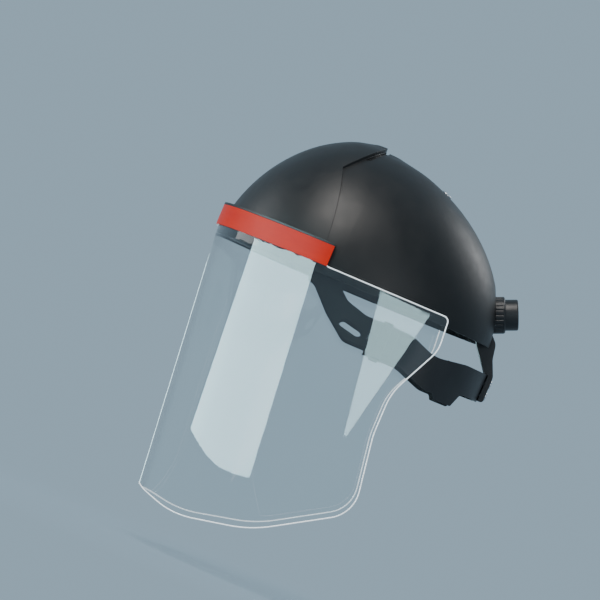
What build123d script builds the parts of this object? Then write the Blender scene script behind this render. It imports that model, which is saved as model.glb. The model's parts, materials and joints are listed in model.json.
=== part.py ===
"""A full-face shield: half-helmet crown shell, clamped clear visor and a ratchet headband.

Millimetres. +Z is up, -Y is the way the wearer looks and +X is the wearer's left. The origin is the
centre of the headband, level with the visor's top line.
"""

import os
from math import atan, cos, pi, radians, sin, sqrt, tan

from build123d import *

# crown shell
SHELL_FRONT = 89.5  # from the widest station to the brow
SHELL_REAR = 124.0  # from the widest station to the back
SHELL_HALF_WIDTH = 98.0
SHELL_HEIGHT = 104.0  # at the front cap
SHELL_WALL = 2.5
ROUNDNESS = 1.87  # exponent of the dome's superellipse: 2 is an ellipse
DOME_Y = -15.5  # the widest station
RIM_Z = -6.0
CURVE_STEPS = 12
CAP_STEP = 3.0  # the front cap stands this much above the rear panel
CAP_RADIUS = 80.0
CAP_HALF_SPAN = 57.0
CAP_WING_Y = -22.0
CAP_LOW_Z = 10.0
VENT_WIDTH = 3.0
VENT_SHELF = 0.4
VENT_DEPTH = 1.4
VENT_HALF_SPAN = 42.0
LEDGE_WALL = 1.6
WINDOW_GAP = 3.2  # round the knob, in the back of the shell

# visor and the strip that clamps it
VISOR_WALL = 1.0
VISOR_TUCK = 6.0  # degrees, towards the chin
VISOR_DROP = 202.0
VISOR_TAB = 11.0  # height of the sheet behind the strip
VISOR_BACK_Y = 71.0
STRIP_HEIGHT = 15.0
STRIP_WALL = 2.2
STRIP_END_Y = -22.0
PEG_RADIUS = 2.4
PEG_GAP = 0.3
PEG_BITE = 1.2  # how far a peg enters the strip
PEG_Z = 5.5
PEG_ANGLES = (-76, -40, 0, 40, 76)
SEAT = 0.1  # between the clamped layers

# headband
BAND_ROOM = 18.4  # from the shell's side in to the band's
BROW_ROOM = 6.5  # from the shell's brow back to the band's
BAND_HALF_WIDTH = SHELL_HALF_WIDTH - BAND_ROOM
BAND_FRONT_Y = DOME_Y - SHELL_FRONT + BROW_ROOM
BAND_CENTRE_Y = -34.0
BAND_BACK_Y = 22.0
BAND_WALL = 1.6
BAND_LOW_Z = -5.0
BAND_HEIGHT = 21.0
BAND_CLEARANCE = 0.5  # at least this from the shell's inner face
PAD_WALL = 5.5
PAD_GAP = 0.3
PAD_BACK_Y = -42.0
STRAP_WALL = 1.4
STRAP_Y = -21.0
STRAP_WIDTH = 18.0
STRAP_LOW_Z = -6.0
STRAP_ROOM = 16.6  # from the shell's top down to the crown straps
STRAP_CENTRE_Z = 4.0
STRAP_RISE = SHELL_HEIGHT + RIM_Z - STRAP_ROOM - STRAP_CENTRE_Z
STRAP_OVERLAP = 10.0
RIVET_RADIUS = 1.6
RIVET_HEAD = 3.2
RIVET_HEAD_HEIGHT = 1.0
CROWN_RIVET_Y = 36.6
RIDGE_GAP = 0.9  # from the shell's inside to the ridge strap
POST_WIDTH = 12.0
POST_HEIGHT = 14.0
POST_Z = 4.0
POST_REAR_Y = 11.0
POST_ANGLE = 40.0

# the knob's axis, at its seat
AXIS_INSET = 13.5  # forward of the shell's rearmost point
AXIS_Y = DOME_Y + SHELL_REAR - AXIS_INSET
AXIS_Z = 14.6
AXIS_TILT = 23.5  # degrees, upwards to the rear

# drop arms and nape band
ARM_WALL = 1.8
LEG_GAP = 0.5
NAPE_WALL = 2.0
NAPE_SETBACK = 19.0  # behind the knob's seat
NAPE_CENTRE_Y = 45.0
NAPE_BACK_Y = AXIS_Y + NAPE_SETBACK
NAPE_FRONT_Y = 25.0
NAPE_TOP_Z = -20.5
NAPE_HEIGHT = 24.0
NAPE_DIP = 8.0  # the sides hang this much lower behind the keepers
NAPE_DIP_Y = 52.0
NAPE_REAR_TOP_Z = -24.5
NAPE_REAR_HEIGHT = 20.5
LUG_LOW_Z = -56.0
LUG_Y = 90.0
LUG_LENGTH = 13.0
KEEPER_WALL = 1.2
KEEPER_LENGTH = 7.0
KEEPER_Y = 34.0
NAPE_PAD_WALL = 4.0
NAPE_PAD_FRONT_Y = 82.0

# ratchet
TRAVEL = 12.0
PINION_PITCH_RADIUS = 6.0
PINION_TEETH = 12
PRESSURE_ANGLE = 20.0
BACKLASH = 0.3
RACK_ADDENDUM = 0.65
PINION_ADDENDUM = 0.85
DEDENDUM = 1.05
HOUSING_HALF_WIDTH = 20.0
HOUSING_ROOM = 0.35  # from a rack's back to the housing's wall
HOUSING_WALL = 2.0
HOUSING_OUT = 6.0  # outer face, measured inwards from the knob's seat
COVER_WALL = 2.0
FLOOR_WALL = 1.8
RACK_WALL = 2.4
RACK_GAP = 0.3
RACK_BACK = 4.6  # solid back of a rack, behind its teeth
RACK_TIP = 7.0
RACK_TEETH_END = 19.0
BLOCK_LENGTH = 4.0
BLOCK_DEPTH = 15.0
BLOCK_INNER_Y = AXIS_Y - BLOCK_DEPTH
SIDE_STRAP_GAP = 0.5
SIDE_STRAP_WALL = 1.4
SIDE_STRAP_INSET = 11.2106  # from the knob's seat forward to the straps at their end blocks
SIDE_STRAP_CENTRE_Y = 20.0
SIDE_STRAP_FRONT_Y = -2.0
SIDE_STRAP_LOW_Z = 3.0
SIDE_STRAP_HEIGHT = 13.5
SHAFT_RADIUS = 4.0
STUB_RADIUS = 2.5
BEARING_GAP = 0.05
TOWER_RADIUS = 12.5
KNOB_RADIUS = 13.3
KNOB_LENGTH = 15.0
KNOB_GAP = 0.5
KNOB_RIBS = 24
RING_RADIUS = 11.2
RING_LENGTH = 9.5
CAP_DISC_RADIUS = 7.4
CAP_DISC_WALL = 2.0
CAP_DISC_SINK = 0.6
SCREW_SEAT_GAP = 0.2
SCREW_RADIUS = 1.5
SCREW_HEAD = 3.0
SCREW_HEAD_HEIGHT = 1.4
BOSS_X = 16.0
BOSS_RADIUS = 2.3
HOUSING_SCREW_RADIUS = 1.1
YOKE_HALF_WIDTH = 10.0
YOKE_WALL = 4.0
HOUSING_PAD_WALL = 3.0

# worked out from these
POCKET_LOW = HOUSING_OUT + COVER_WALL
POCKET_HIGH = POCKET_LOW + RACK_WALL + 2 * RACK_GAP
HOUSING_IN = POCKET_HIGH + FLOOR_WALL
GEAR_LOW = POCKET_LOW + RACK_GAP
GEAR_HIGH = POCKET_HIGH - RACK_GAP
RACK_ROOT = PINION_PITCH_RADIUS + DEDENDUM
RACK_TOP = RACK_ROOT + RACK_BACK
HOUSING_HALF_HEIGHT = RACK_TOP + HOUSING_ROOM + HOUSING_WALL
TOOTH_PITCH = 2 * pi * PINION_PITCH_RADIUS / PINION_TEETH
KNOB_FACE = -KNOB_LENGTH - RING_LENGTH
SCREW_SEAT = KNOB_FACE + CAP_DISC_SINK + CAP_DISC_WALL + SCREW_SEAT_GAP
BLOCK_X = HOUSING_HALF_WIDTH + TRAVEL + 1
SIDE_STRAP_SHARE = BLOCK_X / (BAND_HALF_WIDTH - BAND_WALL - SIDE_STRAP_GAP)
SIDE_STRAP_LENGTH = AXIS_Y - SIDE_STRAP_INSET - SIDE_STRAP_CENTRE_Y
SIDE_STRAP_RISE = SIDE_STRAP_LENGTH / sqrt(1 - SIDE_STRAP_SHARE**2)
RIDGE_TOP_Z = STRAP_CENTRE_Z + STRAP_RISE + 2 * STRAP_WALL + 1.2  # the ridge strap's upper face at the peg


def keep(name, shape):
    """Writes one sub-part."""
    export_step(shape, f"parts/{name}.step")


def group(solids):
    return Compound(children=list(solids))


def other_side(shape):
    return mirror(shape, about=Plane.YZ)


def box_between(low, high):
    size = [b - a for a, b in zip(low, high)]
    return Pos(*low) * Box(*size, align=(Align.MIN, Align.MIN, Align.MIN))


def drum(radius, low, high):
    """An upright cylinder on the Z axis."""
    return Pos(0, 0, low) * Cylinder(radius, high - low, align=(Align.CENTER, Align.CENTER, Align.MIN))


def side_plate(face, x_low, x_high):
    """A face drawn as (Y, Z), extruded across X."""
    return Pos(x_low, 0, 0) * extrude(Plane.YZ * face, x_high - x_low, dir=(1, 0, 0))


def u_plan(half_width, length, centre, end):
    """Plan of a U: half an ellipse beyond the centre line and straight legs back to end."""
    away = -1 if end > centre else 1
    bow = Ellipse(half_width, length) & Pos(0, away * length) * Rectangle(4 * half_width, 2 * length)
    legs = Pos(0, (end - centre) / 2) * Rectangle(2 * half_width, abs(end - centre))
    return Pos(0, centre) * (bow + legs)


def u_wall(plan, wall, low, height):
    """The wall just inside a U plan given by its four sizes."""
    half_width, length, centre, end = plan
    outer = u_plan(*plan)
    overrun = 5 if end > centre else -5
    inner = u_plan(half_width - wall, length - wall, centre, end + overrun)
    return Pos(0, 0, low) * extrude(outer - inner, height)


def brow_sizes(grow, end=VISOR_BACK_Y):
    """The shell's front plan, grown outwards."""
    return (SHELL_HALF_WIDTH + grow, SHELL_FRONT + grow, DOME_Y, end)


def out_of_ellipse(half_width, length, centre, angle, height):
    """A place on a front ellipse with its local Z pointing straight out."""
    a = radians(angle)
    point = (half_width * sin(a), centre - length * cos(a), height)
    return Plane(origin=point, z_dir=(sin(a) / half_width, -cos(a) / length, 0)).location


def ratchet(shape):
    """Moves a shape from the ratchet's frame: X across, Y up the housing, Z inwards along the axis."""
    lean = radians(AXIS_TILT)
    frame = Plane(origin=(0, AXIS_Y, AXIS_Z), x_dir=(1, 0, 0), z_dir=(0, -cos(lean), -sin(lean)))
    return frame.location * shape


def ratchet_yz(up, inwards):
    """The row's (Y, Z) of a point in the ratchet's middle plane."""
    lean = radians(AXIS_TILT)
    y = AXIS_Y - inwards * cos(lean) - up * sin(lean)
    z = AXIS_Z - inwards * sin(lean) + up * cos(lean)
    return (y, z)


# ---------------------------------------------------------------- crown shell
def dome(section, height):
    """The dome turned from a section of unit size, then drawn out to the shell's sizes."""
    unit = revolve(section, Axis.Z, 360)
    halves = []
    for side, length in ((-1, SHELL_FRONT), (1, SHELL_REAR)):
        half = unit & Pos(0, side, 0.5) * Box(4, 2, 4)
        halves.append(scale(half, by=(SHELL_HALF_WIDTH, length, height)))
    return Pos(0, DOME_Y, RIM_Z) * (halves[0] + halves[1])


def quarter(size):
    """A quarter of a superellipse in the XZ plane."""
    points = []
    for i in range(CURVE_STEPS + 1):
        angle = i * pi / 2 / CURVE_STEPS
        points.append((size * cos(angle) ** (2 / ROUNDNESS), 0, size * sin(angle) ** (2 / ROUNDNESS)))
    return Spline(*points, tangents=[(0, 0, 1), (-1, 0, 0)])


def dome_wall(wall, height):
    hollow = 1 - wall / SHELL_HALF_WIDTH
    closing = [quarter(hollow), Line((0, 0, 1), (0, 0, hollow)), Line((hollow, 0, 0), (1, 0, 0))]
    return dome(make_face([line.edge() for line in (quarter(1), *closing)]), height)


def dome_filled(depth):
    """All that lies more than depth below the rear panel's outer face."""
    size = 1 - depth / SHELL_HALF_WIDTH
    closing = [Line((0, 0, size), (0, 0, 0)), Line((0, 0, 0), (size, 0, 0))]
    section = make_face([line.edge() for line in (quarter(size), *closing)])
    return dome(section, SHELL_HEIGHT - CAP_STEP)


def cap_plan():
    """Plan of the raised front cap: an arc across the crown and a wing down each side."""
    sag = CAP_RADIUS - sqrt(CAP_RADIUS**2 - CAP_HALF_SPAN**2)
    far = SHELL_HALF_WIDTH + 20
    front = DOME_Y - SHELL_FRONT - 20
    left = (CAP_HALF_SPAN, DOME_Y - sag)
    right = (-CAP_HALF_SPAN, DOME_Y - sag)
    rear_edge = ThreePointArc(right, (0, DOME_Y), left)
    rest = Polyline(left, (far, CAP_WING_Y), (far, front), (-far, front), (-far, CAP_WING_Y), right)
    return make_face(rear_edge + rest)


def knob_window():
    """The opening in the shell's back, open at the rim, that the knob and its yoke pass through."""
    rise = TRAVEL * sin(radians(AXIS_TILT))
    half_width = KNOB_RADIUS + WINDOW_GAP
    top = Pos(0, rise) * Circle(half_width)
    throat = Pos(0, -30 + rise / 2) * Rectangle(2 * half_width, 60 + rise)
    return ratchet(Pos(0, 0, -30) * extrude(top + throat, 50))


def crown_shell():
    panel_height = SHELL_HEIGHT - CAP_STEP
    cap_reach = Pos(0, 0, CAP_LOW_Z) * extrude(cap_plan(), SHELL_HEIGHT)
    cap = dome_wall(SHELL_WALL + CAP_STEP / 2, SHELL_HEIGHT) & cap_reach
    ledge_low = STRIP_HEIGHT + SEAT
    stack = 2 * SEAT + VISOR_WALL + STRIP_WALL
    rim = u_wall(brow_sizes(0), SHELL_WALL, RIM_Z, ledge_low + LEDGE_WALL - RIM_Z)
    ledge = u_wall(brow_sizes(stack), stack + 1, ledge_low, LEDGE_WALL)
    reach = box_between((-200, -200, RIM_Z), (200, STRIP_END_Y, ledge_low + LEDGE_WALL))
    vent_radius = CAP_RADIUS + VENT_SHELF
    vent_band = Circle(vent_radius + VENT_WIDTH) - Circle(vent_radius)
    vent_band = vent_band & Pos(0, CAP_RADIUS) * Rectangle(2 * VENT_HALF_SPAN, 80)
    vent_reach = Pos(0, DOME_Y - CAP_RADIUS, 40) * extrude(vent_band, 80)
    vent = vent_reach - dome_filled(VENT_DEPTH)
    shell = dome_wall(SHELL_WALL, panel_height) + cap + ((rim + ledge) & reach)
    shell = shell - vent - knob_window()
    return shell - crown_rivet_place() * drum(RIVET_RADIUS + 0.4, -10, 10)


def crown_rivet_place():
    """On the rear panel's outer face, on its middle line, with Z pointing out."""
    height = SHELL_HEIGHT - CAP_STEP
    along = (CROWN_RIVET_Y - DOME_Y) / SHELL_REAR
    up = (1 - along**ROUNDNESS) ** (1 / ROUNDNESS)
    out = (0, along ** (ROUNDNESS - 1) / SHELL_REAR, up ** (ROUNDNESS - 1) / height)
    return Plane(origin=(0, CROWN_RIVET_Y, RIM_Z + up * height), z_dir=out).location


# ---------------------------------------------------------------- visor, strip and pegs
def visor_outline():
    """Side view of the clear sheet as (Y, Z)."""
    back = VISOR_BACK_Y
    low = -VISOR_DROP
    brow = DOME_Y - SHELL_FRONT
    corners = [
        (brow - 40, VISOR_TAB, 1),
        (STRIP_END_Y - 3, VISOR_TAB, 2),
        (STRIP_END_Y, 0, 2),
        (back, 0, 4),
        (back + 2, -24, 24),
        (back - 17, -64, 44),
        (back - 17, -96, 60),
        (back - 8, low + 50, 24),
        (back - 70, low + 12, 90),
        (back - 125, low, 60),
        (brow + 24, low + 7, 24),
        (brow - 40, low + 36, 1),
    ]
    points = [(y, z) for y, z, _ in corners]
    return make_face(FilletPolyline(*points, radius=[r for _, _, r in corners], close=True))


def visor():
    lean = radians(VISOR_TUCK)
    outer = u_plan(*brow_sizes(SEAT + VISOR_WALL, VISOR_BACK_Y + 20))
    inner = u_plan(*brow_sizes(SEAT, VISOR_BACK_Y + 30))
    length = (VISOR_DROP + 20) / cos(lean)
    hung = Pos(0, 0, RIM_Z) * extrude(outer - inner, length, dir=(0, sin(lean), -cos(lean)))
    tab = Pos(0, 0, RIM_Z) * extrude(outer - inner, VISOR_TAB + 2 - RIM_Z)
    half_width = SHELL_HALF_WIDTH + 30
    sheet = (hung + tab) & side_plate(visor_outline(), -half_width, half_width)
    for angle in PEG_ANGLES:
        sheet = sheet - peg_place(angle) * drum(PEG_RADIUS + PEG_GAP, -6, 8)
    return sheet


def peg_place(angle):
    return out_of_ellipse(SHELL_HALF_WIDTH, SHELL_FRONT, DOME_Y, angle, PEG_Z)


def clamp_strip():
    strip = u_wall(brow_sizes(2 * SEAT + VISOR_WALL + STRIP_WALL), STRIP_WALL, 0, STRIP_HEIGHT)
    return strip & box_between((-200, -200, -1), (200, STRIP_END_Y, STRIP_HEIGHT + 1))


def visor_pegs():
    tip = 2 * SEAT + VISOR_WALL + PEG_BITE
    return group(peg_place(angle) * drum(PEG_RADIUS, 1 - SHELL_WALL, tip) for angle in PEG_ANGLES)


# ---------------------------------------------------------------- headband and crown straps
def band_sizes(inset, end=BAND_BACK_Y):
    length = BAND_CENTRE_Y - BAND_FRONT_Y
    return (BAND_HALF_WIDTH - inset, length - inset, BAND_CENTRE_Y, end)


def forehead_band():
    """A U of flat strip, cut back wherever the shell comes too near."""
    below_rim = box_between((-200, -200, BAND_LOW_Z - 5), (200, 200, RIM_Z))
    room = dome_filled(SHELL_WALL + BAND_CLEARANCE) + below_rim
    return u_wall(band_sizes(0), BAND_WALL, BAND_LOW_Z, BAND_HEIGHT) & room


def sweatband_pad():
    pad = u_wall(band_sizes(BAND_WALL + PAD_GAP), PAD_WALL, BAND_LOW_Z - 1, BAND_HEIGHT + 2)
    return pad & box_between((-200, -200, -50), (200, PAD_BACK_Y, 50))


def crown_strap(lift, reach):
    """A strap from the band's left side over the head and reach past the middle."""
    half_width = BAND_HALF_WIDTH - BAND_WALL
    rise = STRAP_RISE + lift
    outer = u_plan(half_width, rise, STRAP_CENTRE_Z, STRAP_LOW_Z)
    inner = u_plan(half_width - STRAP_WALL, rise - STRAP_WALL, STRAP_CENTRE_Z, STRAP_LOW_Z - 5)
    face = (outer - inner) & Pos(100 - reach, 0) * Rectangle(200, 400)
    return Pos(0, STRAP_Y, 0) * extrude(Plane.XZ * face, STRAP_WIDTH / 2, both=True)


def ridge_strap():
    """Flat under the crown peg, then back along the shell to the rivet in it."""
    place = crown_rivet_place()
    out = Plane(place).z_dir
    rearward = out.cross(Vector(1, 0, 0))
    under = place.position - (SHELL_WALL + RIDGE_GAP) * out
    tail = under + 6 * rearward
    flat_end = (STRAP_Y + STRAP_WIDTH / 2, RIDGE_TOP_Z)
    flat = Line((STRAP_Y - STRAP_WIDTH / 2, RIDGE_TOP_Z), flat_end)
    slope = Spline(flat_end, (under.Y, under.Z), tangents=[(1, 0), (rearward.Y, rearward.Z)])
    top = Wire([flat.edge(), slope.edge(), Line((under.Y, under.Z), (tail.Y, tail.Z)).edge()])
    low = Pos(0, -STRAP_WALL) * top
    ends = [Line(top @ 0, low @ 0).edge(), Line(top @ 1, low @ 1).edge()]
    return side_plate(make_face(top.edges() + low.edges() + ends), -STRAP_WIDTH / 2, STRAP_WIDTH / 2)


def through_band(y, z, low_x, high_x, radius):
    """A pin along X on the left side of the headband."""
    return Pos(low_x, y, z) * Rot(0, 90, 0) * drum(radius, 0, high_x - low_x)


def band_rivets():
    """Two rivets a side, each through the crown strap, the band and the drop arm."""
    inner = BAND_HALF_WIDTH - BAND_WALL - STRAP_WALL
    outer = BAND_HALF_WIDTH + ARM_WALL
    left = []
    for offset in (-STRAP_WIDTH / 3, STRAP_WIDTH / 3):
        y = STRAP_Y + offset
        shank = through_band(y, POST_Z, inner, outer, RIVET_RADIUS)
        inner_head = through_band(y, POST_Z, inner - RIVET_HEAD_HEIGHT, inner, RIVET_HEAD)
        outer_head = through_band(y, POST_Z, outer, outer + RIVET_HEAD_HEIGHT, RIVET_HEAD)
        left.append(shank + inner_head + outer_head)
    return group(left + [other_side(rivet) for rivet in left])


def band_places():
    """Where the four shell posts leave the band: two at the brow, two at the rear."""
    half_width, length, centre, _ = band_sizes(BAND_WALL)
    rear = Pos(half_width, POST_REAR_Y, POST_Z) * Rot(0, 90, 0)
    front = out_of_ellipse(half_width, length, centre, POST_ANGLE, POST_Z)
    return (front, rear)


def shell_posts():
    room = dome_filled(SHELL_WALL)
    band_plan = u_plan(*band_sizes(0, BAND_BACK_Y + 5))
    band = Pos(0, 0, BAND_LOW_Z - 1) * extrude(band_plan, BAND_HEIGHT + 2)
    half_height = POST_HEIGHT / 2
    half_width = POST_WIDTH / 2
    posts = []
    for place in band_places():
        post = place * box_between((-half_height, -half_width, 0), (half_height, half_width, 30))
        post = (post & room) - band
        posts += [post, other_side(post)]
    return group(posts)


def post_pins():
    left = [place * drum(RIVET_RADIUS, 0, BAND_WALL + 3) for place in band_places()]
    return group(left + [other_side(pin) for pin in left])


def crown_peg():
    low = STRAP_CENTRE_Z + STRAP_RISE - STRAP_WALL
    high = RIDGE_TOP_Z
    peg = drum(RIVET_RADIUS, low, high) + drum(RIVET_HEAD, low - RIVET_HEAD_HEIGHT, low)
    return Pos(0, STRAP_Y, 0) * (peg + drum(RIVET_HEAD, high, high + RIVET_HEAD_HEIGHT))


def crown_rivet():
    stack = SHELL_WALL + RIDGE_GAP + STRAP_WALL + 0.1
    shank = drum(RIVET_RADIUS, -stack, 0)
    head = drum(RIVET_HEAD + 0.8, 0, RIVET_HEAD_HEIGHT)
    head = fillet(head.faces().sort_by(Axis.Z)[-1].edges(), RIVET_HEAD_HEIGHT * 0.7)
    return crown_rivet_place() * (shank + head + drum(RIVET_HEAD, -stack - RIVET_HEAD_HEIGHT, -stack))


def crown_pad():
    top = STRAP_CENTRE_Z + STRAP_RISE - STRAP_WALL - RIVET_HEAD_HEIGHT - PAD_GAP
    pad = box_between((-24, STRAP_Y - 12, top - 7), (24, STRAP_Y + 12, top))
    dished = Pos(0, STRAP_Y, top - 80) * Rot(90, 0, 0) * Cylinder(78, 60)
    pad = fillet(pad.edges().filter_by(Axis.Z), 8)
    return pad & dished


# ---------------------------------------------------------------- drop arms and nape band
def arm_face():
    """Side view of a drop arm as (Y, Z): a riveted tab, a slanted limb and a slotted rail."""
    rail_top = NAPE_TOP_Z
    rail_low = NAPE_TOP_Z - NAPE_HEIGHT + 3
    rail_back = KEEPER_Y + KEEPER_LENGTH / 2 + 6
    corners = [
        (-33, POST_Z + 5, 3),
        (-9, POST_Z + 5, 3),
        (-7, -9, 6),
        (1, -16, 10),
        (17, rail_top, 10),
        (rail_back, rail_top, 2),
        (rail_back, rail_low, 2),
        (8, rail_low, 10),
        (-11, -27, 12),
        (-27, -11, 10),
        (-33, -9, 2),
    ]
    points = [(y, z) for y, z, _ in corners]
    face = make_face(FilletPolyline(*points, radius=[r for _, _, r in corners], close=True))
    slot = Pos(10, -32.2) * Rot(0, 0, -12) * SlotOverall(18.5, 6.8)
    return face - slot


def drop_arm():
    return side_plate(arm_face(), BAND_HALF_WIDTH, BAND_HALF_WIDTH + ARM_WALL)


def nape_sizes(inset, front=NAPE_FRONT_Y):
    half_width = BAND_HALF_WIDTH - LEG_GAP - inset
    return (half_width, NAPE_BACK_Y - NAPE_CENTRE_Y - inset, NAPE_CENTRE_Y, front)


def nape_face():
    """Side view of the nape band as (Y, Z): level legs, sides that hang lower, and a lug under each."""
    low = NAPE_TOP_Z - NAPE_HEIGHT
    side_top = NAPE_TOP_Z - NAPE_DIP
    side_low = low - NAPE_DIP
    rear_low = NAPE_REAR_TOP_Z - NAPE_REAR_HEIGHT
    slope_end = NAPE_DIP_Y + 21
    lug_front = LUG_Y - LUG_LENGTH / 2
    lug_back = LUG_Y + LUG_LENGTH / 2
    front = NAPE_FRONT_Y - 5
    back = NAPE_BACK_Y + 10
    corners = [
        (front, NAPE_TOP_Z, 1),
        (NAPE_DIP_Y, NAPE_TOP_Z, 25),
        (slope_end, side_top, 25),
        (lug_back, NAPE_REAR_TOP_Z, 20),
        (back, NAPE_REAR_TOP_Z, 1),
        (back, rear_low, 1),
        (lug_back + 4, rear_low, 4),
        (lug_back, LUG_LOW_Z, 1.5),
        (lug_front, LUG_LOW_Z, 1.5),
        (lug_front - 2, side_low, 1.5),
        (slope_end, side_low, 15),
        (NAPE_DIP_Y, low, 25),
        (front, low, 1),
    ]
    points = [(y, z) for y, z, _ in corners]
    return make_face(FilletPolyline(*points, radius=[r for _, _, r in corners], close=True))


def nape_band():
    wall = u_wall(nape_sizes(0), NAPE_WALL, LUG_LOW_Z - 5, NAPE_TOP_Z - LUG_LOW_Z + 10)
    return wall & side_plate(nape_face(), -200, 200)


def keeper():
    """A clip round the rail and the nape band's leg."""
    outer_x = BAND_HALF_WIDTH + ARM_WALL
    inner_x = BAND_HALF_WIDTH - LEG_GAP - NAPE_WALL - LEG_GAP
    low = NAPE_TOP_Z - NAPE_HEIGHT - LEG_GAP
    high = NAPE_TOP_Z + LEG_GAP
    front = KEEPER_Y - KEEPER_LENGTH / 2
    back = KEEPER_Y + KEEPER_LENGTH / 2
    hole = box_between((inner_x, front - 1, low), (outer_x, back + 1, high))
    wall = KEEPER_WALL
    body = box_between((inner_x - wall, front, low - wall), (outer_x + wall, back, high + wall))
    return fillet(body.edges().filter_by(Axis.Y), 1.0) - hole


def nape_pad():
    low = NAPE_REAR_TOP_Z - NAPE_REAR_HEIGHT + 1.5
    pad = u_wall(nape_sizes(NAPE_WALL + PAD_GAP), NAPE_PAD_WALL, low, NAPE_REAR_HEIGHT - 3)
    return pad & box_between((-200, NAPE_PAD_FRONT_Y, -100), (200, 200, 0))


def yoke_strap():
    """From the ratchet's tower down to the back of the nape band."""
    knob_room = KNOB_RADIUS + 0.9
    back = NAPE_BACK_Y + SEAT
    low = NAPE_REAR_TOP_Z - NAPE_REAR_HEIGHT + 1
    top = NAPE_REAR_TOP_Z
    corners = [
        (*ratchet_yz(-TOWER_RADIUS + 0.5, HOUSING_OUT), 0.3),
        (*ratchet_yz(-21, HOUSING_OUT), 12),
        (*ratchet_yz(-32, 3.2), 6),
        (back - 3, top + 0.5, 1),
        (back, top + 0.5, 0.5),
        (back, low, 0.8),
        (back + YOKE_WALL, low, 1.8),
        (back + YOKE_WALL, top, 8),
        (*ratchet_yz(-32, -5.5), 12),
        (*ratchet_yz(-21, -8), 8),
        (*ratchet_yz(-knob_room, -5.5), 1.5),
        (*ratchet_yz(-knob_room, KNOB_GAP), 0.3),
        (*ratchet_yz(-TOWER_RADIUS + 0.5, KNOB_GAP), 0.3),
    ]
    points = [(y, z) for y, z, _ in corners]
    face = make_face(FilletPolyline(*points, radius=[r for _, _, r in corners], close=True))
    strap = side_plate(face, -YOKE_HALF_WIDTH, YOKE_HALF_WIDTH)
    return strap - ratchet(drum(TOWER_RADIUS, KNOB_GAP, HOUSING_OUT))


def yoke_rivets():
    back = NAPE_BACK_Y + SEAT + YOKE_WALL
    rivets = []
    for drop in (5.5, 14.5):
        shank = drum(RIVET_RADIUS, -YOKE_WALL - SEAT - NAPE_WALL, 0)
        head = drum(RIVET_HEAD, 0, RIVET_HEAD_HEIGHT)
        head = fillet(head.faces().sort_by(Axis.Z)[-1].edges(), RIVET_HEAD_HEIGHT * 0.7)
        rivets.append(Pos(0, back, NAPE_REAR_TOP_Z - drop) * Rot(-90, 0, 0) * (shank + head))
    return group(rivets)


# ---------------------------------------------------------------- ratchet
def ratchet_slab(low, high):
    half_width = HOUSING_HALF_WIDTH
    half_height = HOUSING_HALF_HEIGHT
    slab = box_between((-half_width, -half_height, low), (half_width, half_height, high))
    return fillet(slab.edges().filter_by(Axis.Z), 2.5)


def ratchet_housing():
    """The inner half: walls above and below the racks, a floor and two screw bosses."""
    lane = HOUSING_HALF_HEIGHT - HOUSING_WALL
    pocket = box_between((-50, -lane, POCKET_LOW - 1), (50, lane, POCKET_HIGH))
    body = ratchet_slab(POCKET_LOW, HOUSING_IN) - pocket
    for x in (-BOSS_X, BOSS_X):
        body = body + Pos(x, 0) * drum(BOSS_RADIUS, POCKET_LOW, POCKET_HIGH)
        body = body - Pos(x, 0) * drum(HOUSING_SCREW_RADIUS, POCKET_LOW - 1, HOUSING_IN - 0.6)
    return ratchet(body - drum(STUB_RADIUS + BEARING_GAP, POCKET_LOW, HOUSING_IN - 0.4))


def ratchet_cover():
    """The outer half, with the tower that the knob turns on."""
    body = ratchet_slab(HOUSING_OUT, POCKET_LOW) + drum(TOWER_RADIUS, KNOB_GAP, HOUSING_OUT)
    for x in (-BOSS_X, BOSS_X):
        body = body - Pos(x, 0) * drum(HOUSING_SCREW_RADIUS, HOUSING_OUT - 1, POCKET_LOW + 1)
    return ratchet(body - drum(SHAFT_RADIUS + BEARING_GAP, -1, POCKET_LOW + 1))


def housing_screws():
    screws = []
    for x in (-BOSS_X, BOSS_X):
        head = drum(BOSS_RADIUS, HOUSING_OUT - 1.2, HOUSING_OUT)
        slot = Pos(0, 0, HOUSING_OUT - 1.2) * Box(6, 0.6, 1.0)
        shank = drum(HOUSING_SCREW_RADIUS, HOUSING_OUT, HOUSING_IN - 0.6)
        screws.append(ratchet(Pos(x, 0) * (head - slot + shank)))
    return group(screws)


def detent_springs():
    """Two leaves that stop just short of the pinion's teeth."""
    tip = PINION_PITCH_RADIUS + PINION_ADDENDUM + 0.4
    middle = (GEAR_LOW + GEAR_HIGH) / 2
    leaf = box_between((tip, -0.35, middle - 0.8), (BOSS_X, 0.35, middle + 0.8))
    leaf = leaf + box_between((tip, -0.35, middle - 0.8), (tip + 1.0, 1.2, middle + 0.8))
    leaf = leaf - Pos(BOSS_X, 0) * drum(BOSS_RADIUS, 0, 20)
    return group([ratchet(leaf), ratchet(Rot(0, 0, 180) * leaf)])


def pinion_face():
    """Stub involute teeth on a root circle."""
    pressure = radians(PRESSURE_ANGLE)
    base = PINION_PITCH_RADIUS * cos(pressure)
    half_tooth = (TOOTH_PITCH / 2 - BACKLASH / 2) / 2 / PINION_PITCH_RADIUS
    at_base = half_tooth + tan(pressure) - pressure
    root = PINION_PITCH_RADIUS - DEDENDUM
    outer = PINION_PITCH_RADIUS + PINION_ADDENDUM
    flank = [(root - 0.5, at_base)]
    for radius in (base, PINION_PITCH_RADIUS, (PINION_PITCH_RADIUS + outer) / 2, outer):
        roll = sqrt((radius / base) ** 2 - 1)
        flank.append((radius, at_base - roll + atan(roll)))
    outline = flank + [(radius, -angle) for radius, angle in reversed(flank)]
    tooth = make_face(Polyline(*[(r * sin(a), r * cos(a)) for r, a in outline], close=True))
    face = Circle(root)
    for i in range(PINION_TEETH):
        face = face + Rot(0, 0, i * 360 / PINION_TEETH) * tooth
    return face


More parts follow.
